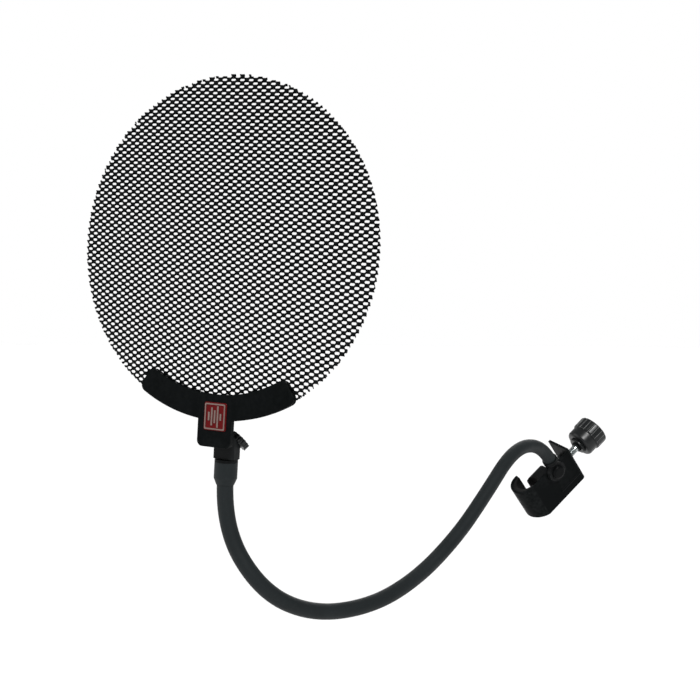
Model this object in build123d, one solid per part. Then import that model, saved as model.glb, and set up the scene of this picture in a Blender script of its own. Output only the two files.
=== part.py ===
from build123d import *
import os
from math import cos, radians, sin, tan

os.makedirs("parts", exist_ok=True)

# Pop filter: an expanded-metal screen on a gooseneck, with a screw clamp for a microphone stand.
# Millimetres, +Z up.  The origin is the centre of the clamped stand tube, on the clamp screw's axis.
# -Y is the side of the screen that faces the voice, +X is to the right of someone facing the screen.

# ---- driving dimensions: screen head ----
SCREEN_CENTRE = Vector(-97.5, -297, 175)
SCREEN_ROLL = 3.6  # degrees that the head leans in its own plane
SCREEN_R = 100.0
MESH_THICK = 1.2
PLATE_THICK = 1.5
SADDLE_R_IN = 85.5
SADDLE_R_OUT = 100.8
SADDLE_HALF_ANGLE = 32.2
SADDLE_CORNER_R = 4.0
TAB_WIDTH = 22.8
TAB_RIGHT = 0.6  # the tab hangs this far to the right of the rim's lowest point
TAB_BOTTOM = 116.4  # distance of the tab's lower edge below the screen's centre
TAB_CORNER_R = 3.5
RIVET_RING_R = 91.5
RIVET_ANGLES = (-27, -18, 18, 27)
RIVET_R = 1.5
RIVET_HEAD_R = 2.7
BADGE_WIDTH, BADGE_HEIGHT, BADGE_THICK = 15.0, 16.5, 0.8
BADGE_RIGHT, BADGE_DROP = 1.5, 98.2
BADGE_BARS = (5.0, 10.5, 7.5, 12.5, 4.0)  # heights of the raised bars

# ---- driving dimensions: swivel block and its locking thumbscrew ----
NECK_RIGHT = 1.0  # the gooseneck's axis is this far to the right of the screen's centre
NECK_BEHIND = 13.0  # the gooseneck's axis is this far behind the mesh
BLOCK_WIDTH = 14.2
BLOCK_DEPTH = 8.4
BLOCK_BOTTOM = 124.4
BLOCK_TOP = 107.0
FOOT_RIGHT = 1.0
FOOT_TOP, FOOT_BOTTOM = 97.5, 112.5
SPIGOT_R = 3.45
SPIGOT_HOLE_R = 3.5
SPIGOT_TOP = 114.8
LOCK_CROSSING = 121.2  # drop at which the thumbscrew's axis meets the spigot's axis
LOCK_SCREW_R = 2.0
LOCK_TIP_START, LOCK_TIP_LENGTH = 6.7, 1.6
LOCK_TILT = (0.45, 0.55, 0.70)  # the thumbscrew points to the right, backwards and up
THUMB_KNOB_R = 6.4
THUMB_KNOB_NEAR, THUMB_KNOB_FAR = 8.8, 12.4
THUMB_KNOB_TEETH = 14

# ---- driving dimensions: gooseneck ----
SHEATH_R = 5.0
SHEATH_BORE_R = 3.7
CORE_R = 3.6
CUP_R = 5.3  # the cup of each flexible knuckle clears its ball of radius SHEATH_R
FERRULE_R = 5.6
SLEEVE_R = 7.0
SLEEVE_BORE_R = 5.65
SHEATH_TOP = 137.2
SLEEVE_SHOULDER, SLEEVE_END = 136.0, 140.0
FIRST_BEND_DROP = 165.5
NECK_ROUTE = [
    Vector(-85, -277, -28),
    Vector(-68, -243, -48),
    Vector(-44, -208, -48),
    Vector(-28, -169.5, -36),
    Vector(-15, -131.5, -14),
    Vector(-6, -101.5, 9.5),
    Vector(4, -62.5, 41),
]
BEND_SHARE = 0.40  # share of the shorter run beside a bend that its arc takes up

# ---- driving dimensions: stand clamp (local x along the screw, y down the tube, z away from the web) ----
SCREW_OUT = Vector(0.527, 0.532, 0.662)
TUBE_DOWN = Vector(0.217, 0.669, -0.711)
TUBE_R = 8.0
LINER_THICK = 1.6
SHEET = 2.0
WEB_TOP, WEB_BOTTOM = -14.4, 18.0
HOOK_SHIFT = 1.5  # the hook's ring is centred this far beyond the tube, away from the screw
FLANGE_X = 40.9
FLANGE_DEPTH = 24.0
BEND_R = 3.0
EDGE_R = 0.35
RIB_R, RIB_HEIGHT = 1.2, 0.7
RIB_START, RIB_END, RIB_Y = 17.5, 37.5, 10.5
HOOK_CUT = ((-1.5, 18.0), (-15.0, 14.0))  # the line that trims the hook's lower corner
SCREW_R = 3.0
SCREW_HOLE_R = 3.3
THREAD_CLEARANCE = 0.05
NUT_ACROSS_FLATS = 10.0
NUT_THICK = 5.0
PAD_WIDTH, PAD_CORNER_R = 18.0, 6.0
PAD_FACING_THICK = 1.6
PAD_BACK = 21.0
PAD_SCREW_END = 13.0
COLLAR_NEAR, COLLAR_FAR, COLLAR_R = 51.2, 52.6, 4.2
NOSE_R, NOSE_ROUND = 7.2, 0.8
HUB_R, HUB_NEAR, HUB_ROUND, HUB_FAR = 11.5, 54.6, 2.5, 63.2
KNOB_R, KNOB_FAR = 12.5, 73.7
KNOB_GROOVES = 20
INSERT_R, INSERT_LENGTH = 4.2, 12.0
CAP_R, CAP_THICK = 8.0, 1.2

# ---- driving dimensions: gooseneck base on the clamp's web ----
EYE_X, EYE_Y = 20.7, -11.4
EYE_R = 8.0
EAR_R = 8.2
LUG_THICK = 3.0
LUG_WIDTH = 8.5
WASHER_THICK = 0.7
FACE_GAP = 0.1
BASE_NECK_END = -25.4  # local y where the sheath ends
BASE_FERRULE_START = -21.7
BASE_FERRULE_R = 5.95
BASE_BEND = -43.0
PIVOT_R = 2.5
PIVOT_HEAD_R, PIVOT_HEAD_THICK = 5.5, 2.6
PIVOT_TAIL_R, PIVOT_TAIL_THICK = 3.9, 1.0

# ---- frames ----
AWAY = SCREW_OUT.cross(TUBE_DOWN).normalized()
CLAMP = Plane(origin=(0, 0, 0), x_dir=SCREW_OUT, z_dir=AWAY)
ROLL = radians(SCREEN_ROLL)
HEAD = Plane(origin=SCREEN_CENTRE, x_dir=(cos(ROLL), 0, -sin(ROLL)), z_dir=(sin(ROLL), 0, cos(ROLL)))
nodes = []


def save(node, shape, frame=None):
    """Write one node's STEP, moved from its local frame to the part's frame."""
    solid = frame.location * shape if frame else shape
    solid.label = node
    export_step(solid, f"parts/{node}.step")
    nodes.append(node)


def rod(radius, start, end):
    """A cylinder from one point to another."""
    start, end = Vector(start), Vector(end)
    return Solid.make_cylinder(radius, (end - start).length, Plane(origin=start, z_dir=end - start))


def tube(outer, inner, start, end):
    """A round tube between two points, with its bore cut a little long."""
    start, end = Vector(start), Vector(end)
    beyond = (end - start).normalized() * 0.5
    return rod(outer, start, end) - rod(inner, start - beyond, end + beyond)


def box(low, high):
    """An axis-aligned box between two corners."""
    low, high = Vector(low), Vector(high)
    size = high - low
    return Pos(*((low + high) * 0.5)) * Box(size.X, size.Y, size.Z)


def ball(radius, centre):
    return Pos(*centre) * Sphere(radius)


def at_clamp(x, y, z):
    """A point given in the clamp's frame, in the part's frame."""
    return CLAMP.from_local_coords(Vector(x, y, z))


def at_head(x, y, z):
    """A point given in the head's frame, in the part's frame."""
    return HEAD.from_local_coords(Vector(x, y, z))


# ---- screen head, in the HEAD frame: x right, y backwards, z up, origin at the screen's centre ----
FRONT = -MESH_THICK / 2 - PLATE_THICK
BACK = MESH_THICK / 2 + PLATE_THICK
RIVET_NEAR = FRONT + 0.5


def polar(radius, angle_from_down, y):
    a = radians(angle_from_down)
    return (radius * sin(a), y, -radius * cos(a))


def facing(y):
    """A sketch plane parallel to the screen whose extrusions run towards the front."""
    return Plane(origin=(0, y, 0), x_dir=(1, 0, 0), z_dir=(0, -1, 0))


def saddle_outline(tab_bottom):
    """A crescent along the lower rim with a rectangular tab hanging from its middle."""
    reach = 2 * SADDLE_R_OUT
    side = reach * tan(radians(SADDLE_HALF_ANGLE))
    wedge = make_face(Polyline((0, 0), (-side, -reach), (side, -reach), close=True))
    crescent = (Circle(SADDLE_R_OUT) - Circle(SADDLE_R_IN)) & wedge
    crescent = fillet(crescent.vertices(), SADDLE_CORNER_R)
    tab_top = SADDLE_R_IN + 6
    tab = Pos(TAB_RIGHT, -(tab_top + tab_bottom) / 2) * Rectangle(TAB_WIDTH, tab_bottom - tab_top)
    tab = fillet(tab.vertices().sort_by(Axis.Y)[:2], TAB_CORNER_R)
    return crescent + tab


def rivet_shanks(far):
    """The blind rivets' shanks, from inside the front plate back to a given depth."""
    return [rod(RIVET_R, polar(RIVET_RING_R, a, RIVET_NEAR), polar(RIVET_RING_R, a, far)) for a in RIVET_ANGLES]


BLOCK_LEFT, BLOCK_END = NECK_RIGHT - BLOCK_WIDTH / 2, NECK_RIGHT + BLOCK_WIDTH / 2
BLOCK_SCREW_DROPS = (99.7, 104.0)
BLOCK_SCREW_X = (FOOT_RIGHT + BLOCK_LEFT) / 2
BLOCK_SCREW_R = 1.25
BLOCK_SCREW_HEAD_R = 2.0


def block_screw(drop, extra=0.0):
    """A countersunk screw from the front plate into the block's foot."""
    head = Plane(origin=(BLOCK_SCREW_X, FRONT, -drop), z_dir=(0, 1, 0)).location * Solid.make_cone(
        BLOCK_SCREW_HEAD_R + extra, BLOCK_SCREW_R + extra, PLATE_THICK
    )
    shank = rod(BLOCK_SCREW_R + extra, (BLOCK_SCREW_X, FRONT, -drop), (BLOCK_SCREW_X, 7.5 + extra, -drop))
    return head + shank


def mesh_screen():
    disc = extrude(facing(MESH_THICK / 2) * Circle(SCREEN_R), MESH_THICK)
    return disc - rivet_shanks(BACK) - [block_screw(d) for d in BLOCK_SCREW_DROPS]


def saddle_plate(y):
    plate = extrude(facing(y) * saddle_outline(TAB_BOTTOM), PLATE_THICK)
    outer = 0 if y < 0 else -1
    plate = chamfer(plate.edges().group_by(Axis.Y)[outer], EDGE_R)
    return plate - rivet_shanks(BACK + 1) - [block_screw(d) for d in BLOCK_SCREW_DROPS]


def tab_shim():
    """Fills the tab's sandwich below the mesh's edge."""
    shim = extrude(facing(MESH_THICK / 2) * saddle_outline(TAB_BOTTOM), MESH_THICK)
    shim = shim & box((TAB_RIGHT - TAB_WIDTH / 2, -5, -TAB_BOTTOM), (TAB_RIGHT + TAB_WIDTH / 2, 5, -SCREEN_R))
    rim = rod(SCREEN_R, (0, -5, 0), (0, 5, 0))
    return shim - rim - [block_screw(d) for d in BLOCK_SCREW_DROPS]


def saddle_rivets():
    """Blind rivets, with their heads at the back."""
    rivets = []
    for a, shank in zip(RIVET_ANGLES, rivet_shanks(BACK)):
        head = rod(RIVET_HEAD_R, polar(RIVET_RING_R, a, BACK), polar(RIVET_RING_R, a, BACK + 0.9))
        rivets.append(shank + chamfer(head.edges().group_by(Axis.Y)[-1], 0.4))
    return Compound(children=rivets)


def badge_plate():
    outline = RectangleRounded(BADGE_WIDTH, BADGE_HEIGHT, 1.2)
    plate = extrude(facing(FRONT) * (Pos(BADGE_RIGHT, -BADGE_DROP) * outline), BADGE_THICK)
    return fillet(plate.edges().group_by(Axis.Y)[0], 0.3)


def badge_emblem():
    """A plain frame round five upright bars, as raised lines."""
    line = 0.8
    frame = RectangleRounded(BADGE_WIDTH - 1.2, BADGE_HEIGHT - 1.2, 0.9)
    frame -= RectangleRounded(BADGE_WIDTH - 1.2 - 2 * line, BADGE_HEIGHT - 1.2 - 2 * line, 0.5)
    faces = [frame]
    pitch = (BADGE_WIDTH - 5.0) / len(BADGE_BARS)
    for i, height in enumerate(BADGE_BARS):
        faces.append(Pos((i - (len(BADGE_BARS) - 1) / 2) * pitch, 0) * Rectangle(line * 1.4, height))
    plane = facing(FRONT - BADGE_THICK)
    return Compound(children=[extrude(plane * (Pos(BADGE_RIGHT, -BADGE_DROP) * f), 0.35) for f in faces])


save("mesh_screen", mesh_screen(), HEAD)
save("saddle_front", saddle_plate(-MESH_THICK / 2), HEAD)
save("saddle_back", saddle_plate(BACK), HEAD)
save("tab_shim", tab_shim(), HEAD)
save("saddle_rivets", saddle_rivets(), HEAD)
save("badge_plate", badge_plate(), HEAD)
save("badge_emblem", badge_emblem(), HEAD)
save("block_screws", Compound(children=[block_screw(d) for d in BLOCK_SCREW_DROPS]), HEAD)

# ---- swivel block, spigot and thumbscrew ----
LOCK_DIR = Vector(*LOCK_TILT).normalized()
LOCK_ORIGIN = Vector(NECK_RIGHT, NECK_BEHIND, -LOCK_CROSSING)
BOSS_END = THUMB_KNOB_NEAR - 0.4


def along_lock(distance):
    return LOCK_ORIGIN + LOCK_DIR * distance


def on_neck(drop):
    """A point of the gooseneck's upper axis."""
    return (NECK_RIGHT, NECK_BEHIND, -drop)


def swivel_block():
    """A foot screwed to the tab, and a socket behind it for the gooseneck's spigot."""
    front, rear = NECK_BEHIND - BLOCK_DEPTH / 2, NECK_BEHIND + BLOCK_DEPTH / 2
    socket = box((BLOCK_LEFT, front, -BLOCK_BOTTOM), (BLOCK_END, rear, -BLOCK_TOP))
    socket = fillet(socket.edges().filter_by(Axis.Z), 1.2)
    room = Plane(origin=along_lock(BOSS_END), z_dir=LOCK_DIR).location * (Pos(0, 0, 10) * Box(40, 40, 20))
    boss = rod(3.6, along_lock(4.5), along_lock(BOSS_END))
    foot = box((BLOCK_LEFT, BACK, -FOOT_BOTTOM), (FOOT_RIGHT, front + 1.5, -FOOT_TOP))
    foot = fillet(foot.edges().filter_by(Axis.Y).group_by(Axis.Z)[-1], 1.0)
    block = (socket + boss - room) + foot
    block -= rod(SPIGOT_HOLE_R, on_neck(BLOCK_BOTTOM + 1), on_neck(SPIGOT_TOP - 0.5))
    block -= rod(LOCK_SCREW_R + THREAD_CLEARANCE, along_lock(2), along_lock(12))
    return block - [block_screw(d) for d in BLOCK_SCREW_DROPS]


def thumb_knob():
    """A small star knob: a toothed disc on a boss."""
    disc = rod(THUMB_KNOB_R, along_lock(THUMB_KNOB_NEAR), along_lock(THUMB_KNOB_FAR))
    plane = Plane(origin=along_lock(THUMB_KNOB_NEAR - 1), z_dir=LOCK_DIR)
    length = THUMB_KNOB_FAR - THUMB_KNOB_NEAR + 2
    notch = Solid.make_cylinder(1.0, length)
    notches = [plane.location * loc * notch for loc in PolarLocations(THUMB_KNOB_R, THUMB_KNOB_TEETH)]
    return disc - notches - rod(LOCK_SCREW_R, along_lock(0), along_lock(THUMB_KNOB_FAR - 1))


def top_ferrule():
    """The crimped ferrule of the gooseneck's upper end, with the spigot that the screen turns on."""
    spigot = rod(SPIGOT_R, on_neck(125.5), on_neck(SPIGOT_TOP))
    spigot = chamfer(spigot.edges().group_by(Axis.Z)[-1], 0.6)
    shoulder = rod(SLEEVE_R, on_neck(124.8), on_neck(126.4))
    barrel = rod(FERRULE_R, on_neck(126.4), on_neck(SHEATH_TOP))
    bore = rod(CORE_R + 0.05, on_neck(127.0), on_neck(SHEATH_TOP + 1))
    return spigot + shoulder + barrel - bore


def top_sleeve():
    """A shrunk sleeve over the ferrule that tapers down on to the sheath."""
    profile = Polyline(
        (SLEEVE_BORE_R, -126.5),
        (SLEEVE_R, -126.5),
        (SLEEVE_R, -SLEEVE_SHOULDER),
        (SHEATH_R + 0.35, -SLEEVE_END),
        (SHEATH_R + 0.05, -SLEEVE_END),
        (SHEATH_R + 0.05, -SHEATH_TOP - 0.1),
        (SLEEVE_BORE_R, -SHEATH_TOP - 0.1),
        close=True,
    )
    ring = revolve(Plane.XZ * make_face(profile), Axis.Z)
    return Pos(NECK_RIGHT, NECK_BEHIND, 0) * ring


save("swivel_block", swivel_block(), HEAD)
save("lock_tip", rod(1.5, along_lock(LOCK_TIP_START), along_lock(LOCK_TIP_START + LOCK_TIP_LENGTH)), HEAD)
lock_screw = rod(LOCK_SCREW_R, along_lock(LOCK_TIP_START + LOCK_TIP_LENGTH), along_lock(THUMB_KNOB_FAR - 1))
save("lock_screw", lock_screw, HEAD)
save("thumb_knob", thumb_knob(), HEAD)
save("top_ferrule", top_ferrule(), HEAD)
save("top_sleeve", top_sleeve(), HEAD)

# ---- gooseneck: seven knuckled lengths from the clamp to the head ----
LUG_Z = -(TUBE_R + LINER_THICK + SHEET) - WASHER_THICK - FACE_GAP - LUG_THICK / 2
neck_base = at_clamp(EYE_X, BASE_NECK_END, LUG_Z)
base_core_end = at_clamp(EYE_X, BASE_FERRULE_START - 0.8, LUG_Z)
base_bend = at_clamp(EYE_X, BASE_BEND, LUG_Z)
neck_top = at_head(NECK_RIGHT, NECK_BEHIND, -SHEATH_TOP)
top_core_end = at_head(NECK_RIGHT, NECK_BEHIND, -127.1)
top_bend = at_head(NECK_RIGHT, NECK_BEHIND, -FIRST_BEND_DROP)
corners = [base_bend] + NECK_ROUTE[::-1] + [top_bend]
knuckles = [(corners[i] + corners[i + 1]) * 0.5 for i in (0, 2, 3, 4, 5, 6)]


def bend_radius(before, corner, after):
    a, b = before - corner, after - corner
    half_turn = radians(180 - a.get_angle(b)) / 2
    return BEND_SHARE * min(a.length, b.length) / tan(half_turn)


def centre_line(start, inside, end, full):
    """Straight runs joined by arcs; full gives the whole route, which sets each arc's radius."""
    radii = []
    for corner in inside:
        i = full.index(corner)
        radii.append(bend_radius(full[i - 1], corner, full[i + 1]))
    return FilletPolyline(start, *inside, end, radius=radii if len(radii) > 1 else radii[0]), radii


def swept(radius, path):
    start = Plane(origin=path @ 0, z_dir=path % 0)
    return sweep(start * Circle(radius), path=path)


def neck_pieces():
    whole = [neck_base] + corners + [neck_top]
    groups = [corners[0:1], corners[1:3]] + [corners[i : i + 1] for i in range(3, 7)] + [corners[7:]]
    sheath_ends = [neck_base] + knuckles + [neck_top]
    core_ends = [base_core_end] + knuckles + [top_core_end]
    last = len(groups) - 1
    total = 0
    for i, inside in enumerate(groups):
        path, radii = centre_line(sheath_ends[i], inside, sheath_ends[i + 1], whole)
        total += path.length
        print(f"gooseneck length {i + 1}: {path.length:.1f} mm, bend radii", [round(r, 1) for r in radii])
        sheath = swept(SHEATH_R, path) - swept(SHEATH_BORE_R, path)
        core_path, _ = centre_line(core_ends[i], inside, core_ends[i + 1], whole)
        core = swept(CORE_R, core_path)
        if i > 0:
            sheath -= ball(CUP_R, knuckles[i - 1])
            core -= ball(CUP_R, knuckles[i - 1])
        if i < last:
            sheath -= ball(SHEATH_R + 0.02, knuckles[i])
            core += ball(SHEATH_R, knuckles[i])
        save(f"gooseneck_sheath_{i + 1}", sheath)
        save(f"gooseneck_core_{i + 1}", core)
    print(f"gooseneck from ferrule to ferrule: {total:.1f} mm")


neck_pieces()

# ---- stand clamp, in the CLAMP frame: x out along the screw, y down the tube, z away from the web ----
WEB_IN = -(TUBE_R + LINER_THICK)
WEB_OUT = WEB_IN - SHEET
HEIGHT = WEB_BOTTOM - WEB_TOP


def across(y):
    """A sketch plane across the tube: x along the screw, y away from the web, extruding down the tube."""
    return Plane(origin=(0, y, 0), x_dir=(1, 0, 0), z_dir=(0, 1, 0))


def hook_half(radius):
    """Everything within a radius of the hook's centre on the tube's far side, with straight lips to x = 0."""
    disc = Pos(-HOOK_SHIFT, 0) * Circle(radius)
    lips = Pos(-HOOK_SHIFT / 2, 0) * Rectangle(HOOK_SHIFT, 2 * radius)
    half = Pos(-2 * radius, 0) * Rectangle(4 * radius, 4 * radius)
    return (disc & half) + lips


def below_hook(lift=0.0):
    """The space under the slanted edge of the hook's lower corner."""
    (x0, y0), (x1, y1) = HOOK_CUT
    corners = [(x0 + lift, y0 - lift), (x1, y1 - lift), (x1, WEB_BOTTOM + 2), (x0 + lift, WEB_BOTTOM + 2)]
    return extrude(Plane.XY.offset(-30) * make_face(Polyline(*corners, close=True)), 60)


def clamp_bracket():
    """One strip of sheet steel: a hook round the tube, a web, and a flange that carries the nut."""
    outer = -WEB_OUT
    inner = -WEB_IN
    hook = hook_half(outer) - hook_half(inner)
    web = Pos(FLANGE_X / 2, (outer + inner) / 2) * Rectangle(FLANGE_X, SHEET)
    flange_far = outer - FLANGE_DEPTH
    flange = Pos(FLANGE_X - SHEET / 2, (outer + flange_far) / 2) * Rectangle(SHEET, FLANGE_DEPTH)
    profile = hook + web + flange
    for point, radius in (((FLANGE_X, outer), BEND_R), ((FLANGE_X - SHEET, inner), BEND_R - SHEET)):
        corner = [v for v in profile.vertices() if (v.center() - Vector(*point)).length < 0.01]
        profile = fillet(corner, radius)
    strip = extrude(across(WEB_TOP) * profile, HEIGHT) - below_hook()
    ear = rod(EAR_R, (EYE_X, EYE_Y, WEB_OUT), (EYE_X, EYE_Y, WEB_IN))
    rib_z = WEB_OUT - RIB_HEIGHT + RIB_R
    rib = rod(RIB_R, (RIB_START, RIB_Y, rib_z), (RIB_END, RIB_Y, rib_z))
    rib += [ball(RIB_R, (RIB_START, RIB_Y, rib_z)), ball(RIB_R, (RIB_END, RIB_Y, rib_z))]
    strip = strip + ear + rib
    strip -= rod(SCREW_HOLE_R, (FLANGE_X - 6, 0, 0), (FLANGE_X + 6, 0, 0))
    strip -= rod(PIVOT_R, (EYE_X, EYE_Y, WEB_OUT - 1), (EYE_X, EYE_Y, WEB_IN + 1))
    return strip


def jaw_liner():
    """A soft lining glued inside the hook."""
    crescent = hook_half(-WEB_IN) - Circle(TUBE_R)
    return extrude(across(WEB_TOP + 0.5) * crescent, HEIGHT - 1) - below_hook(0.5)


def clamp_nut():
    plane = Plane(origin=(FLANGE_X - SHEET - NUT_THICK, 0, 0), x_dir=(0, 1, 0), z_dir=(1, 0, 0))
    hexagon = RegularPolygon(NUT_ACROSS_FLATS / 2, 6, major_radius=False)
    return extrude(plane * (hexagon - Circle(SCREW_R + THREAD_CLEARANCE)), NUT_THICK)


def pad_block(width, start, end):
    """A square prism with rounded corners, along the screw."""
    plane = Plane(origin=(start, 0, 0), x_dir=(0, 1, 0), z_dir=(1, 0, 0))
    return extrude(plane * RectangleRounded(width, width, PAD_CORNER_R - (PAD_WIDTH - width) / 2), end - start)


def pressure_pad():
    """A moulded pad with a hollow face for the tube, turned on the screw's end."""
    body = pad_block(PAD_WIDTH, 3, PAD_BACK)
    body = fillet(body.edges().group_by(Axis.X)[-1], 1.5)
    body -= rod(TUBE_R + 0.3 + PAD_FACING_THICK, (0, -20, 0), (0, 20, 0))
    return body - rod(SCREW_R + THREAD_CLEARANCE, (PAD_SCREW_END - 0.4, 0, 0), (PAD_BACK + 1, 0, 0))


def pad_facing():
    ring = rod(TUBE_R + 0.3 + PAD_FACING_THICK, (0, -20, 0), (0, 20, 0)) - rod(TUBE_R + 0.3, (0, -21, 0), (0, 21, 0))
    return ring & pad_block(PAD_WIDTH - 0.8, 4, PAD_BACK)


def clamp_knob():
    """A moulded hand knob: a short nose, a smooth rounded hub and a wider grooved rim."""
    nose = rod(NOSE_R, (COLLAR_FAR, 0, 0), (HUB_NEAR + 1, 0, 0))
    nose = fillet(nose.edges().group_by(Axis.X)[0], NOSE_ROUND)
    hub = rod(HUB_R, (HUB_NEAR, 0, 0), (HUB_FAR + 1, 0, 0))
    hub = fillet(hub.edges().group_by(Axis.X)[0], HUB_ROUND) + nose
    rim = rod(KNOB_R, (HUB_FAR, 0, 0), (KNOB_FAR, 0, 0))
    rim = fillet(rim.edges(), 1.2)
    plane = Plane(origin=(HUB_FAR - 1, 0, 0), x_dir=(0, 1, 0), z_dir=(1, 0, 0))
    groove = Solid.make_cylinder(0.8, KNOB_FAR - HUB_FAR + 2)
    rim -= [plane.location * loc * groove for loc in PolarLocations(KNOB_R + 0.15, KNOB_GROOVES)]
    knob = hub + rim - rod(CAP_R, (KNOB_FAR - CAP_THICK, 0, 0), (KNOB_FAR + 1, 0, 0))
    return knob - rod(INSERT_R, (COLLAR_FAR - 1, 0, 0), (COLLAR_FAR + INSERT_LENGTH, 0, 0))


def clamp_screw():
    screw = rod(SCREW_R, (PAD_SCREW_END, 0, 0), (COLLAR_FAR + INSERT_LENGTH, 0, 0))
    return chamfer(screw.edges().group_by(Axis.X)[0], 0.8)


save("clamp_bracket", clamp_bracket(), CLAMP)
save("jaw_liner", jaw_liner(), CLAMP)
save("clamp_nut", clamp_nut(), CLAMP)
save("pressure_pad", pressure_pad(), CLAMP)
save("pad_facing", pad_facing(), CLAMP)
save("clamp_screw", clamp_screw(), CLAMP)
save("screw_collar", tube(COLLAR_R, SCREW_R, (COLLAR_NEAR, 0, 0), (COLLAR_FAR, 0, 0)), CLAMP)
save("clamp_knob", clamp_knob(), CLAMP)
save("knob_insert", tube(INSERT_R, SCREW_R, (COLLAR_FAR, 0, 0), (COLLAR_FAR + INSERT_LENGTH, 0, 0)), CLAMP)
save("knob_cap", rod(CAP_R, (KNOB_FAR - CAP_THICK, 0, 0), (KNOB_FAR, 0, 0)), CLAMP)

# ---- gooseneck base: a lug that swivels on a shouldered rivet through the web ----
LUG_IN = LUG_Z + LUG_THICK / 2
LUG_OUT = LUG_Z - LUG_THICK / 2


def base_ferrule():
    eye = rod(EYE_R, (EYE_X, EYE_Y, LUG_OUT), (EYE_X, EYE_Y, LUG_IN))
    strap = box((EYE_X - LUG_WIDTH / 2, BASE_FERRULE_START - 1, LUG_OUT), (EYE_X + LUG_WIDTH / 2, EYE_Y, LUG_IN))
    barrel = rod(BASE_FERRULE_R, (EYE_X, BASE_FERRULE_START, LUG_Z), (EYE_X, BASE_NECK_END, LUG_Z))
    barrel = fillet(barrel.edges().group_by(Axis.Y)[-1], 1.2)
    bore = rod(CORE_R + 0.05, (EYE_X, BASE_FERRULE_START - 0.7, LUG_Z), (EYE_X, BASE_NECK_END - 1, LUG_Z))
    hole = rod(PIVOT_R + 0.05, (EYE_X, EYE_Y, LUG_OUT - 1), (EYE_X, EYE_Y, LUG_IN + 1))
    return eye + strap + barrel - bore - hole


def on_pivot(z):
    """A point of the swivel rivet's axis."""
    return (EYE_X, EYE_Y, z)


def base_pivot():
    """A domed rivet: head outside, shank through lug, washer and web, tail inside."""
    head_face = LUG_OUT - FACE_GAP
    head = rod(PIVOT_HEAD_R, on_pivot(head_face - PIVOT_HEAD_THICK), on_pivot(head_face))
    head = fillet(head.edges().group_by(Axis.Z)[0], PIVOT_HEAD_THICK - 0.6)
    shank = rod(PIVOT_R, on_pivot(head_face - 0.5), on_pivot(WEB_IN))
    tail = rod(PIVOT_TAIL_R, on_pivot(WEB_IN), on_pivot(WEB_IN + PIVOT_TAIL_THICK))
    return head + shank + chamfer(tail.edges().group_by(Axis.Z)[-1], 0.4)


save("base_ferrule", base_ferrule(), CLAMP)
save("base_pivot", base_pivot(), CLAMP)
washer = tube(6.5, PIVOT_R, (EYE_X, EYE_Y, WEB_OUT - WASHER_THICK), (EYE_X, EYE_Y, WEB_OUT))
save("base_washer", washer, CLAMP)
print(len(nodes), "nodes")
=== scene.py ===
import math

import bmesh
import bpy
import numpy as np
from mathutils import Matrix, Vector, noise


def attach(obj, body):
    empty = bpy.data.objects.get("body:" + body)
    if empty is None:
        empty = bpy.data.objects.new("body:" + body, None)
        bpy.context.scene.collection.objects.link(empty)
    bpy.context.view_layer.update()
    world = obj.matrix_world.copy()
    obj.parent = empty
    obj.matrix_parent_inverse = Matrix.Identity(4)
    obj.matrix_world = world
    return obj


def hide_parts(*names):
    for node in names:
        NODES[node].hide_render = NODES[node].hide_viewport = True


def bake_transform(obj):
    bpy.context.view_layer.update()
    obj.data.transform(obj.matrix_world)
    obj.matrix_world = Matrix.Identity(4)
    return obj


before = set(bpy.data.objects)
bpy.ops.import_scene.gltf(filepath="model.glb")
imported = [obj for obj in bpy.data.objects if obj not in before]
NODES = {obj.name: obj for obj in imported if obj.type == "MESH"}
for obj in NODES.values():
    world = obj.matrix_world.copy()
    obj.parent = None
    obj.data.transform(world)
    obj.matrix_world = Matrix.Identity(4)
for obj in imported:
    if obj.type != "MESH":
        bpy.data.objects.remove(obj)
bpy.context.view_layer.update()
MM = 0.001

# ---- the part's own axes and sizes, as in part.py; metres unless a name says otherwise ----
SCREEN_CENTRE = Vector((-0.0975, -0.297, 0.175))
SCREEN_ROLL = math.radians(3.6)
SCREEN_R = 0.1
HEAD_X = Vector((math.cos(SCREEN_ROLL), 0, -math.sin(SCREEN_ROLL)))
HEAD_Y = Vector((0, 1, 0))
HEAD_Z = Vector((math.sin(SCREEN_ROLL), 0, math.cos(SCREEN_ROLL)))
SCREW_OUT = Vector((0.527, 0.532, 0.662)).normalized()
TUBE_DOWN = Vector((0.217, 0.669, -0.711))
AWAY = SCREW_OUT.cross(TUBE_DOWN).normalized()
TUBE_DOWN = AWAY.cross(SCREW_OUT)


def at_head(x, y, z):
    """A point in the screen head's own axes, in millimetres, as a point in the row frame."""
    return SCREEN_CENTRE + (HEAD_X * x + HEAD_Y * y + HEAD_Z * z) * MM


def at_clamp(x, y, z):
    """A point in the clamp's own axes, in millimetres, as a point in the row frame."""
    return (SCREW_OUT * x + TUBE_DOWN * y + AWAY * z) * MM


# ---- materials ----
MIX_FACTOR, MIX_A, MIX_B, MIX_RESULT = 0, 6, 7, 2  # a Mix node's sockets when it mixes colours


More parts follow.
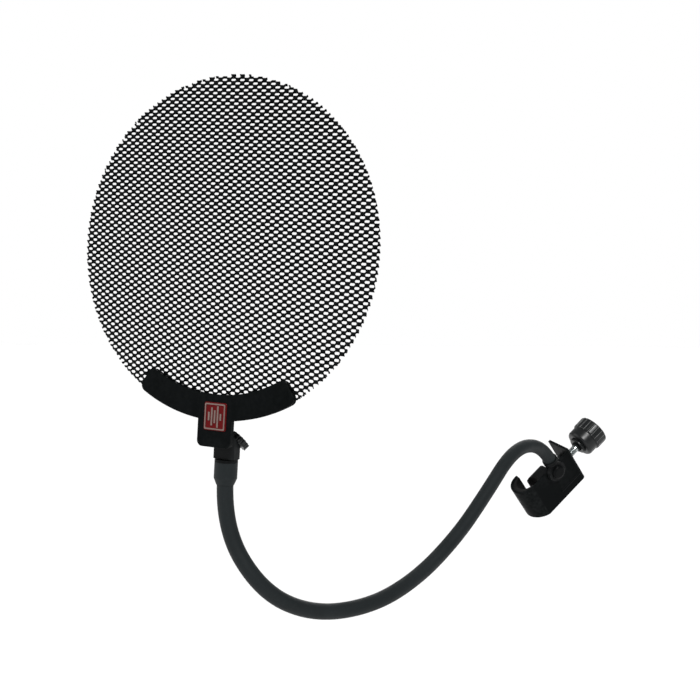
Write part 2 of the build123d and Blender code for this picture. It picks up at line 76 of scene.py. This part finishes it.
class Shader:
    """A principled material with a small node tree built by hand."""

    def __init__(self, name):
        self.material = bpy.data.materials.new(name)
        self.material.use_nodes = True
        self.tree = self.material.node_tree
        self.bsdf = self.tree.nodes["Principled BSDF"]
        self.coordinates = self.tree.nodes.new("ShaderNodeTexCoord").outputs["Object"]

    def node(self, kind, inputs=(), **settings):
        made = self.tree.nodes.new(kind)
        for key, value in settings.items():
            setattr(made, key, value)
        for socket, value in dict(inputs).items():
            if isinstance(value, bpy.types.NodeSocket):
                self.tree.links.new(value, made.inputs[socket])
            else:
                made.inputs[socket].default_value = value
        return made

    def link(self, source, socket):
        self.tree.links.new(source, self.bsdf.inputs[socket])

    def set(self, **values):
        for key, value in values.items():
            self.bsdf.inputs[key.replace("_", " ")].default_value = value

    def noise(self, scale, detail=3.0, roughness=0.5, vector=None):
        return self.node("ShaderNodeTexNoise", {
            "Vector": vector or self.coordinates, "Scale": scale, "Detail": detail, "Roughness": roughness,
        }).outputs["Fac"]

    def spread(self, value, low, high, start=0.3, end=0.7):
        """Maps a noise value to a number between low and high."""
        return self.node("ShaderNodeMapRange", {
            "Value": value, "From Min": start, "From Max": end, "To Min": low, "To Max": high,
        }).outputs["Result"]

    def mix(self, factor, a, b):
        """A colour between a and b."""
        made = self.node("ShaderNodeMix", {}, data_type="RGBA")
        for index, value in ((MIX_FACTOR, factor), (MIX_A, a), (MIX_B, b)):
            if isinstance(value, bpy.types.NodeSocket):
                self.tree.links.new(value, made.inputs[index])
            else:
                made.inputs[index].default_value = (*value[:3], 1)
        return made.outputs[MIX_RESULT]

    def bump(self, height, strength, distance, normal=None):
        inputs = {"Height": height, "Strength": strength, "Distance": distance}
        if normal:
            inputs["Normal"] = normal
        return self.node("ShaderNodeBump", inputs).outputs["Normal"]

    def edges(self, start, end):
        """A mask that is 1 on outward edges, from the mesh's own pointiness."""
        point = self.node("ShaderNodeNewGeometry").outputs["Pointiness"]
        return self.spread(point, 0.0, 1.0, start, end)


def powder_coat(name, dark, light, rough=(0.42, 0.58), specular=0.025):
    """Satin paint: an orange-peel bump, a slow change of tone, and a painted highlight that makes the edges
    lighter in patches.
    """
    s = Shader(name)
    s.set(Specular_IOR_Level=specular)
    slow = s.noise(45.0, 4.0, 0.6)
    tone = s.mix(s.spread(slow, 0, 1), dark, light)
    # painted highlight: the outward edges are coloured lighter, broken into noise patches
    edge_highlight = tuple(c * 2.2 + 0.008 for c in light)
    patches = s.spread(s.noise(400.0), 0.0, 0.8)
    edge_highlight_mask = s.node("ShaderNodeMath", {0: s.edges(0.53, 0.66), 1: patches}, operation="MULTIPLY")
    s.link(s.mix(edge_highlight_mask.outputs[0], tone, edge_highlight), "Base Color")
    s.link(s.spread(s.noise(160.0, 5.0, 0.6), *rough), "Roughness")
    peel = s.bump(s.noise(1500.0, 2.0, 0.45), 0.25, 0.00006)
    s.link(s.bump(slow, 0.06, 0.0006, peel), "Normal")
    return s.material


def metal(name, colour, rough, brush=(1.0, 1.0, 30.0), tarnish=0.12):
    """Plated or turned steel with fine lines and faint stains."""
    s = Shader(name)
    s.set(Metallic=1.0)
    stretched = s.node("ShaderNodeMapping", {"Vector": s.coordinates, "Scale": brush}).outputs["Vector"]
    fine = s.noise(900.0, 3.0, 0.6, stretched)
    stain = s.noise(220.0, 4.0, 0.6)
    darker = tuple(c * (1 - tarnish * 2.5) for c in colour)
    s.link(s.mix(s.spread(stain, 0, 1), colour, darker), "Base Color")
    s.link(s.spread(fine, *rough), "Roughness")
    s.link(s.bump(fine, 0.12, 0.00003), "Normal")
    return s.material


def moulded(name, dark, light, rough=(0.4, 0.55), grain=2600.0, strength=0.2, specular=0.4):
    """Moulded plastic or rubber with a spark-eroded grain and a painted highlight on its edges."""
    s = Shader(name)
    s.set(Specular_IOR_Level=specular)
    cells = s.node("ShaderNodeTexVoronoi", {"Vector": s.coordinates, "Scale": grain}).outputs["Distance"]
    slow = s.noise(90.0, 4.0, 0.55)
    tone = s.mix(s.spread(slow, 0, 1), dark, light)
    # painted highlight: the outward edges are coloured lighter
    s.link(s.mix(s.edges(0.52, 0.7), tone, tuple(c * 1.8 + 0.004 for c in light)), "Base Color")
    s.link(s.spread(s.noise(300.0, 4.0, 0.6), *rough), "Roughness")
    s.link(s.bump(cells, strength, 0.00005), "Normal")
    return s.material


def sheath_pvc():
    """Soft matt sheath shrunk over a wound core: faint turns and handling marks."""
    s = Shader("sheath_pvc")
    s.set(Specular_IOR_Level=0.14, Sheen_Weight=0.03, Sheen_Roughness=0.5)
    along = s.node("ShaderNodeUVMap", {}, uv_map="along").outputs["UV"]
    turns = s.node("ShaderNodeTexWave", {
        "Vector": along, "Scale": 80.0, "Distortion": 0.8, "Detail": 2.0, "Detail Scale": 2.0,
    }, wave_type="BANDS", bands_direction="X")
    slow = s.noise(40.0, 4.0, 0.6)
    tone = s.mix(s.spread(slow, 0, 1), (0.0072, 0.0098, 0.0106), (0.0104, 0.0134, 0.0146))
    dust = s.spread(s.noise(900.0, 4.0, 0.7), 0.0, 0.35, 0.55, 0.8)
    s.link(s.mix(dust, tone, (0.026, 0.031, 0.033)), "Base Color")
    s.link(s.spread(s.noise(120.0, 5.0, 0.65), 0.5, 0.68), "Roughness")
    ripple = s.bump(turns.outputs["Fac"], 0.10, 0.00012)
    s.link(s.bump(s.noise(1400.0, 3.0, 0.5), 0.22, 0.00005, ripple), "Normal")
    return s.material


def enamel_red():
    """Red enamel with a thin clear coat and a faint mottle."""
    s = Shader("badge_red")
    s.set(Coat_Weight=0.04, Coat_Roughness=0.12, Specular_IOR_Level=0.08)
    mottle = s.spread(s.noise(350.0, 4.0, 0.6), 0, 1)
    s.link(s.mix(mottle, (0.076, 0.0012, 0.0016), (0.102, 0.002, 0.0027)), "Base Color")
    s.link(s.spread(s.noise(700.0), 0.28, 0.4), "Roughness")
    s.link(s.bump(s.noise(1800.0, 2.0), 0.08, 0.00004), "Normal")
    return s.material


BLACK = (0.0016, 0.0022, 0.0023)
BLACK_LIGHT = (0.0028, 0.0035, 0.0037)


def slot_name(material):
    """A material's record slot, without the number that Blender adds to a name already taken."""
    return material.name.split(".")[0]


MATERIALS = {
    slot_name(made): made for made in (
        powder_coat("screen_mesh", (0.0020, 0.0026, 0.0028), (0.0038, 0.0046, 0.0049), (0.38, 0.55)),
        powder_coat("saddle_paint", BLACK, BLACK_LIGHT),
        powder_coat("bracket_paint", BLACK, BLACK_LIGHT, (0.34, 0.5)),
        powder_coat("blackened_steel", (0.002, 0.0024, 0.0025), (0.004, 0.0044, 0.0047), (0.3, 0.42), 0.05),
        enamel_red(),
        metal("badge_silver", (0.26, 0.19, 0.17), (0.42, 0.56), (1, 1, 12), 0.08),
        moulded("black_plastic", (0.0022, 0.0028, 0.003), (0.004, 0.0048, 0.005), specular=0.1),
        moulded("knob_plastic", (0.0042, 0.005, 0.0055), (0.007, 0.008, 0.0085), (0.26, 0.36), specular=0.28),
        moulded("nylon", (0.55, 0.52, 0.45), (0.68, 0.65, 0.58), (0.35, 0.5), 1800.0, 0.1),
        metal("zinc_steel", (0.40, 0.43, 0.43), (0.12, 0.28)),
        sheath_pvc(),
        metal("neck_steel", (0.42, 0.42, 0.43), (0.25, 0.45)),
        moulded("rubber", (0.004, 0.004, 0.004), (0.007, 0.007, 0.007), (0.65, 0.85), 1500.0, 0.25, 0.1),
        metal("brass", (0.72, 0.52, 0.22), (0.2, 0.35)),
    )
}


def repaint_nodes():
    """Every carried-over CAD node takes the procedural material of its record slot."""
    for name, node in NODES.items():
        slots = [slot_name(m) for m in node.data.materials if m]
        chosen = next((s for s in slots if s in MATERIALS), None)
        if chosen is None:
            raise RuntimeError(f"{name} has no known slot: {slots}")
        for i in range(len(node.material_slots)):
            node.material_slots[i].material = MATERIALS[chosen]


repaint_nodes()


# ---- shared mesh helpers ----
def around(centre, across, other, radius, angle):
    """A point on a circle round centre, in the plane of two unit directions."""
    return centre + (across * math.cos(angle) + other * math.sin(angle)) * radius


def skin(bm, rings):
    """Faces between rings of vertices in turn, with both ends closed. Yields (face, ring, corner)."""
    for index, (a, b) in enumerate(zip(rings, rings[1:])):
        for k in range(len(a)):
            j = (k + 1) % len(a)
            yield bm.faces.new((a[k], a[j], b[j], b[k])), index, k
    bm.faces.new(rings[0][::-1])
    bm.faces.new(rings[-1])


def piece(name, bm, slot, sharp_angle):
    """Turn a built mesh into a smooth-shaded piece that takes its finish from one slot."""
    bmesh.ops.recalc_face_normals(bm, faces=bm.faces)
    mesh = bpy.data.meshes.new(name)
    bm.to_mesh(mesh)
    bm.free()
    made = bpy.data.objects.new(name, mesh)
    bpy.context.scene.collection.objects.link(made)
    mesh.materials.append(MATERIALS[slot])
    mesh.shade_smooth()
    mesh.set_sharp_from_angle(angle=math.radians(sharp_angle))
    return made


# ---- expanded-metal screen; millimetres ----
# Each strand of the slit sheet zigzags between a joint with the strand above and one with the strand below.
# A strand's phase counts the long ways along it.
LONG_WAY = 5.94
SHORT_WAY = 3.87
LONG_TURN, SHORT_TURN = math.radians(-2.7), math.radians(-1.43)
LATTICE_SHIFT = (1.20, -1.10)
STRAND_WIDTH = 1.38
STRAND_THICK = 0.6
STRAND_TILT = math.radians(-42)
JOINT_LENGTH = 2.5
ROUND_SHARE, STRAIGHT_SHARE = 0.55, 0.45  # how far a slanting stretch is S-shaped rather than straight
WIDTH_UNEVEN = 0.06
PITCH_UNEVEN = 0.07
SCREEN_TRIM = 0.9996
RIM_INSET = 0.6  # a strand's end stands out past its centre line, so the line stops short of the rim
RIM_HALVINGS = 12
SHORTEST_STEP = 0.01  # in phase
HOLD = JOINT_LENGTH / LONG_WAY / 2
SLANT = 0.5 - 2 * HOLD
TILT_COS, TILT_SIN = math.cos(STRAND_TILT), math.sin(STRAND_TILT)


def strand_path(row, phase):
    """(across, depth) of a strand's centre at a phase."""
    t = (phase - 0.5 * (row % 2)) % 1.0
    distance = min(t, 1 - t)
    share = min(1.0, max(0.0, (distance - HOLD) / SLANT))
    way = math.cos(math.pi * share) * ROUND_SHARE + (1 - 2 * share) * STRAIGHT_SHARE
    step = SHORT_WAY / 2
    lift_across = step - STRAND_WIDTH * TILT_COS
    lift_depth = -STRAND_WIDTH * TILT_SIN
    return row * step + way * lift_across / 2, way * lift_depth / 2


def flat(u, v):
    """A point of the straight lattice, turned and shifted to lie as it does in the disc."""
    u, v = u + LATTICE_SHIFT[0], v + LATTICE_SHIFT[1]
    x = u * math.cos(LONG_TURN) - v * math.sin(SHORT_TURN)
    return x, u * math.sin(LONG_TURN) + v * math.cos(SHORT_TURN)


def strand_corners(row, phase):
    """The four corners of a strand's tilted section at a phase."""
    v, depth = strand_path(row, phase)
    u = phase * LONG_WAY
    uneven = 1 + WIDTH_UNEVEN * noise.noise(Vector((u * 0.31, row * 1.7, 2.0)))
    u += PITCH_UNEVEN * noise.noise(Vector((u * 0.2, row * 0.9, 5.0)))
    w, h = STRAND_WIDTH * uneven / 2, STRAND_THICK / 2
    corners = []
    for a, b in ((-w, -h), (w, -h), (w, h), (-w, h)):
        x, z = flat(u, v + a * TILT_COS - b * TILT_SIN)
        corners.append(at_head(x, depth + a * TILT_SIN + b * TILT_COS, z))
    return corners


def strand_runs(row, phases, inside):
    """The stretches of a strand that lie inside the disc, each as a list of phases."""
    def crossing(outer, inner):
        for _ in range(RIM_HALVINGS):
            middle = (outer + inner) / 2
            if inside(row, middle):
                inner = middle
            else:
                outer = middle
        return inner

    runs, run = [], []
    for before, now in zip(phases, phases[1:]):
        if inside(row, now):
            if not run:
                run = [before] if inside(row, before) else [crossing(before, now)]
            if now - run[-1] > SHORTEST_STEP:
                run.append(now)
        elif run:
            end = crossing(now, before)
            if end - run[-1] > SHORTEST_STEP:
                run.append(end)
            runs.append(run)
            run = []
    return [run for run in runs if len(run) > 1]


def expanded_screen():
    radius = SCREEN_R / MM * SCREEN_TRIM
    rows = int(radius / (SHORT_WAY / 2)) + 2
    count = int(radius / LONG_WAY) + 2
    stops = [-HOLD, HOLD, HOLD + SLANT / 3, HOLD + 2 * SLANT / 3]
    stops = stops + [s + 0.5 for s in stops]

    def inside(row, phase):
        v, _ = strand_path(row, phase)
        return math.hypot(*flat(phase * LONG_WAY, v)) < radius - RIM_INSET

    bm = bmesh.new()
    for row in range(-rows, rows + 1):
        phases = [c + s + 0.5 * (row % 2) for c in range(-count, count) for s in stops]
        for run in strand_runs(row, phases, inside):
            rings = [[bm.verts.new(c) for c in strand_corners(row, p)] for p in run]
            list(skin(bm, rings))
    made = piece("screen_expanded_metal", bm, "screen_mesh", 40)
    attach(made, "screen")
    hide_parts("mesh_screen")


expanded_screen()

# ---- gooseneck sheath: smooth lengths cut halfway between the frame's hinges ----
LUG_Z = -13.9
NECK_LEFT, NECK_BEHIND = 1.0, 13.0
CORNERS = [at_clamp(20.7, -43.0, LUG_Z)] + [Vector(p) for p in (
    (0.004, -0.0625, 0.041), (-0.006, -0.1015, 0.0095), (-0.015, -0.1315, -0.014), (-0.028, -0.1695, -0.036),
    (-0.044, -0.208, -0.048), (-0.068, -0.243, -0.048), (-0.085, -0.277, -0.028),
)] + [at_head(NECK_LEFT, NECK_BEHIND, -165.5)]
NECK_BASE = at_clamp(20.7, -25.4, LUG_Z)
NECK_TOP = at_head(NECK_LEFT, NECK_BEHIND, -137.2)
HINGE_MARKS = (1, 3, 4, 5, 6, 7)  # which of the arcs start at a hinge
ARC_STEPS = 40
SHEATH_R = 5.0 * MM
SHEATH_SEGMENTS = 40
RING_SPACING = 0.0012
PROBE = 0.001
WOUND_PITCH = 0.0034
END_FLARE = 0.0015
UV_PER_METRE, UV_ROUND = 10, 0.31


def neck_centre_line():
    """Parabolas from mid-run to mid-run as points, each point's length along, and where each arc starts."""
    mids = [NECK_BASE] + [(a + b) / 2 for a, b in zip(CORNERS, CORNERS[1:])] + [NECK_TOP]
    dense = []
    marks = []
    for corner, a, b in zip(CORNERS, mids, mids[1:]):
        marks.append(len(dense))
        for k in range(ARC_STEPS):
            t = k / ARC_STEPS
            dense.append(a * (1 - t) ** 2 + corner * (2 * t * (1 - t)) + b * t * t)
    marks.append(len(dense))
    dense.append(mids[-1])
    reach = [0.0]
    for a, b in zip(dense, dense[1:]):
        reach.append(reach[-1] + (b - a).length)
    return dense, reach, [reach[m] for m in marks]


def neck_sheath():
    dense, reach, marks = neck_centre_line()
    hinges = [marks[i] for i in HINGE_MARKS]
    total = reach[-1]
    ends = [0.0] + [(a + b) / 2 for a, b in zip([0.0] + hinges, hinges + [total])] + [total]
    points = np.array([list(p) for p in dense])

    def at(s):
        return Vector([float(np.interp(s, reach, points[:, k])) for k in range(3)])

    def tangent(s):
        return (at(min(s + PROBE, total)) - at(max(s - PROBE, 0))).normalized()

    def sheath_radius(s):
        uneven = 0.006 * noise.noise(Vector((s * 60, 0, 3)))
        swell = 1 + uneven + 0.003 * math.sin(s * 2 * math.pi / WOUND_PITCH)
        flare = min(1.0, s / END_FLARE, (total - s) / END_FLARE)
        return SHEATH_R * swell * (0.99 + 0.01 * flare)

    # one direction carried along the whole line, so that the lengths' rings meet
    stations = []
    for a, b in zip(ends, ends[1:]):
        count = max(4, round((b - a) / RING_SPACING))
        stations.append([a + (b - a) * k / count for k in range(count + 1)])
    side = tangent(0).orthogonal().normalized()
    sides = {}
    for group in stations:
        for s in group:
            direction = tangent(s)
            side = (side - direction * side.dot(direction)).normalized()
            sides[s] = side.copy()

    for index, group in enumerate(stations):
        number = index + 1
        bm = bmesh.new()
        uv = bm.loops.layers.uv.new("along")
        rings = []
        for s in group:
            centre, across, radius = at(s), sides[s], sheath_radius(s)
            other = tangent(s).cross(across)
            turns = [2 * math.pi * k / SHEATH_SEGMENTS for k in range(SHEATH_SEGMENTS)]
            rings.append([bm.verts.new(around(centre, across, other, radius, a)) for a in turns])
        for face, ring, k in skin(bm, rings):
            low, high = group[ring], group[ring + 1]
            for loop, s, c in zip(face.loops, (low, low, high, high), (k, k + 1, k + 1, k)):
                loop[uv].uv = (s * UV_PER_METRE, c / SHEATH_SEGMENTS * UV_ROUND)
        made = piece(f"sheath_length_{number}", bm, "sheath_pvc", 60)
        if index == 0:
            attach(made, "neck_1")
            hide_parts("gooseneck_sheath_1", "gooseneck_core_1")
        elif index == len(stations) - 1:
            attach(made, "neck_7")
        else:
            at(group[0])
            at(group[-1])
            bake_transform(made)
            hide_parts(f"gooseneck_sheath_{number}", f"gooseneck_core_{number}")


neck_sheath()

# ---- clamp screw with a real thread ----
SCREW_START, SCREW_END = at_clamp(13.0, 0, 0), at_clamp(64.6, 0, 0)
SCREW_R = 3.0 * MM
PITCH = 1.0 * MM
THREAD_DEPTH = 0.54 * PITCH
THREAD_END = 36.0 * MM
SCREW_SEGMENTS, RINGS_PER_PITCH = 36, 8
TIP_TAPER, TIP_LENGTH = 0.7 * MM, 0.8 * MM


def clamp_screw():
    axis = (SCREW_END - SCREW_START).normalized()
    across = axis.orthogonal().normalized()
    other = axis.cross(across)
    length = (SCREW_END - SCREW_START).length
    count = int(length / (PITCH / RINGS_PER_PITCH))
    bm = bmesh.new()
    rings = []
    for k in range(count + 1):
        z = length * k / count
        fade = min(1.0, z / PITCH, (length - z) / PITCH, max(0.0, (THREAD_END - z) / PITCH))
        taper = TIP_TAPER * max(0.0, 1 - z / TIP_LENGTH)
        ring = []
        for i in range(SCREW_SEGMENTS):
            turn = (z / PITCH - i / SCREW_SEGMENTS) % 1.0
            ridge = min(1.0, max(0.0, abs(turn - 0.5) * 2.6 - 0.3))
            radius = SCREW_R - THREAD_DEPTH * ridge * max(0.0, fade) - taper
            angle = 2 * math.pi * i / SCREW_SEGMENTS
            ring.append(bm.verts.new(around(SCREW_START + axis * z, across, other, radius, angle)))
        rings.append(ring)
    list(skin(bm, rings))
    made = piece("clamp_screw_threaded", bm, "zinc_steel", 30)
    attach(made, "screw")
    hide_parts("clamp_screw")


clamp_screw()

# ---- stage, light and camera ----
FLOOR_HALF, FLOOR_Z = 40.0, -0.42
FLOOR_TONE, FLOOR_ROUGHNESS = (0.92, 0.92, 0.92, 1), 0.9
WHITE = (1, 1, 1, 1)
WORLD_LIGHT, WORLD_SEEN = 0.35, 1.0
LAMPS = (  # name, direction of travel, strength, angle across in degrees
    ("key", (-0.46, 0.62, -0.64), 2.6, 16),
    ("fill", (0.8, 0.55, -0.5), 0.9, 50),
    ("back", (0.2, -0.9, -0.5), 0.8, 40),
)
CAMERA_PLACE = (0.247, -0.8406, 0.1255)
CAMERA_AIM = (-0.4358, 0.8999, -0.0154)
SENSOR_MM, LENS_MM = 36.0, 56.57


def facing(direction):
    """The rotation of a lamp or camera that looks along a direction."""
    return Vector(direction).to_track_quat("-Z", "Y").to_euler()


def stage():
    mesh = bpy.data.meshes.new("floor")
    corners = [(x * FLOOR_HALF, y * FLOOR_HALF, FLOOR_Z) for x, y in ((-1, -1), (1, -1), (1, 1), (-1, 1))]
    mesh.from_pydata(corners, [], [(0, 1, 2, 3)])
    floor = bpy.data.objects.new("floor", mesh)
    bpy.context.scene.collection.objects.link(floor)
    paper = bpy.data.materials.new("floor_paper")
    paper.use_nodes = True
    paper.node_tree.nodes["Principled BSDF"].inputs["Base Color"].default_value = FLOOR_TONE
    paper.node_tree.nodes["Principled BSDF"].inputs["Roughness"].default_value = FLOOR_ROUGHNESS
    mesh.materials.append(paper)


def lights():
    """A pale world that the camera sees as white, and three soft suns."""
    world = bpy.data.worlds.new("studio")
    bpy.context.scene.world = world
    world.use_nodes = True
    tree = world.node_tree
    lit = tree.nodes["Background"]
    seen = tree.nodes.new("ShaderNodeBackground")
    for background, strength in ((lit, WORLD_LIGHT), (seen, WORLD_SEEN)):
        background.inputs["Color"].default_value = WHITE
        background.inputs["Strength"].default_value = strength
    paths = tree.nodes.new("ShaderNodeLightPath")
    mixer = tree.nodes.new("ShaderNodeMixShader")
    tree.links.new(paths.outputs["Is Camera Ray"], mixer.inputs[0])
    tree.links.new(lit.outputs[0], mixer.inputs[1])
    tree.links.new(seen.outputs[0], mixer.inputs[2])
    tree.links.new(mixer.outputs[0], tree.nodes["World Output"].inputs[0])
    for name, direction, strength, angle in LAMPS:
        data = bpy.data.lights.new(name, "SUN")
        data.energy = strength
        data.angle = math.radians(angle)
        lamp = bpy.data.objects.new(name, data)
        bpy.context.scene.collection.objects.link(lamp)
        lamp.rotation_euler = facing(direction)


def camera():
    data = bpy.data.cameras.new("camera")
    data.sensor_width = SENSOR_MM
    data.lens = LENS_MM
    made = bpy.data.objects.new("camera", data)
    bpy.context.scene.collection.objects.link(made)
    made.location = CAMERA_PLACE
    made.rotation_euler = facing(CAMERA_AIM)
    bpy.context.scene.camera = made


stage()
lights()
camera()
bpy.context.scene.view_settings.view_transform = "Standard"
